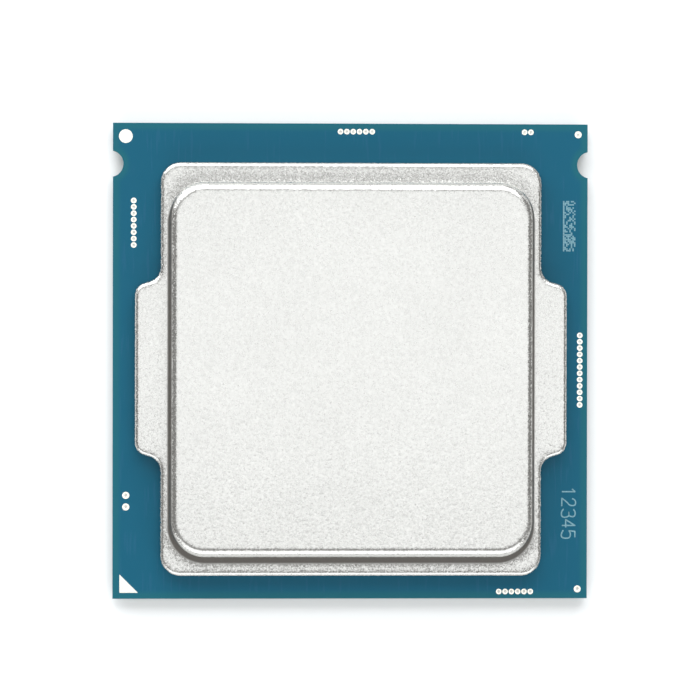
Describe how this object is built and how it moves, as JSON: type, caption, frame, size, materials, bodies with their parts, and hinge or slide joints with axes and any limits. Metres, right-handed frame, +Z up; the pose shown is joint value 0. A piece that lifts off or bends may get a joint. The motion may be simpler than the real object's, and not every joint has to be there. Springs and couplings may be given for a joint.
{
  "type": "computer processor",
  "caption": "Square land-grid processor package: teal laminate board under a stepped nickel-plated heat spreader, contact lands and small capacitors beneath.",
  "frame": {"origin": "under the centre of the square board, at the level of the capacitors' lowest faces, on which the loose part stands", "axes": "+Z up through the board to the face that the cooler presses on; +Y towards the edge nearer the two keying notches; +X to the right seen from above, so the pin-one mark is at -X, -Y"},
  "size_m": [0.0376, 0.0376, 0.0049],
  "materials": {
    "glass_epoxy_laminate": "cut edge of woven glass and epoxy, olive",
    "copper_foil": "bare rolled copper",
    "build_up_resin": "filled epoxy film",
    "solder_mask": "teal-blue epoxy mask, satin gloss",
    "gold_plating": "pale gold over nickel, bright",
    "capacitor_ceramic": "fired tan-brown ceramic",
    "tin_plating": "matt tin",
    "solder_alloy": "bright reflowed solder",
    "silicon": "polished dark grey",
    "underfill_epoxy": "cured black-grey epoxy",
    "thermal_compound": "grey paste",
    "nickel_plated_copper": "satin nickel plate with a fine tumbled grain",
    "sealant": "black silicone bead"
  },
  "bodies": {
    "root": {"substrate_core": "glass_epoxy_laminate", "lower_copper_plane": "copper_foil", "upper_copper_plane": "copper_foil", "lower_buildup": "build_up_resin", "upper_buildup": "build_up_resin", "lower_solder_mask": "solder_mask", "upper_solder_mask": "solder_mask", "top_probe_row": "gold_plating", "top_probe_pair": "gold_plating", "right_probe_row": "gold_plating", "bottom_probe_row": "gold_plating", "left_probe_row": "gold_plating", "left_probe_pair": "gold_plating", "corner_fiducials": "gold_plating", "corner_locator": "gold_plating", "pin_one_mark": "gold_plating", "upper_left_lands": "gold_plating", "lower_right_lands": "gold_plating", "underside_probe_pads": "gold_plating", "capacitor_footprints": "gold_plating", "outer_bank_ceramics": "capacitor_ceramic", "middle_bank_ceramics": "capacitor_ceramic", "outer_bank_terminals": "tin_plating", "middle_bank_terminals": "tin_plating", "capacitor_solder": "solder_alloy", "die_bumps": "solder_alloy", "silicon_die": "silicon", "underfill": "underfill_epoxy", "thermal_compound": "thermal_compound", "heat_spreader": "nickel_plated_copper", "lid_sealant": "sealant"}
  },
  "joints": []
}
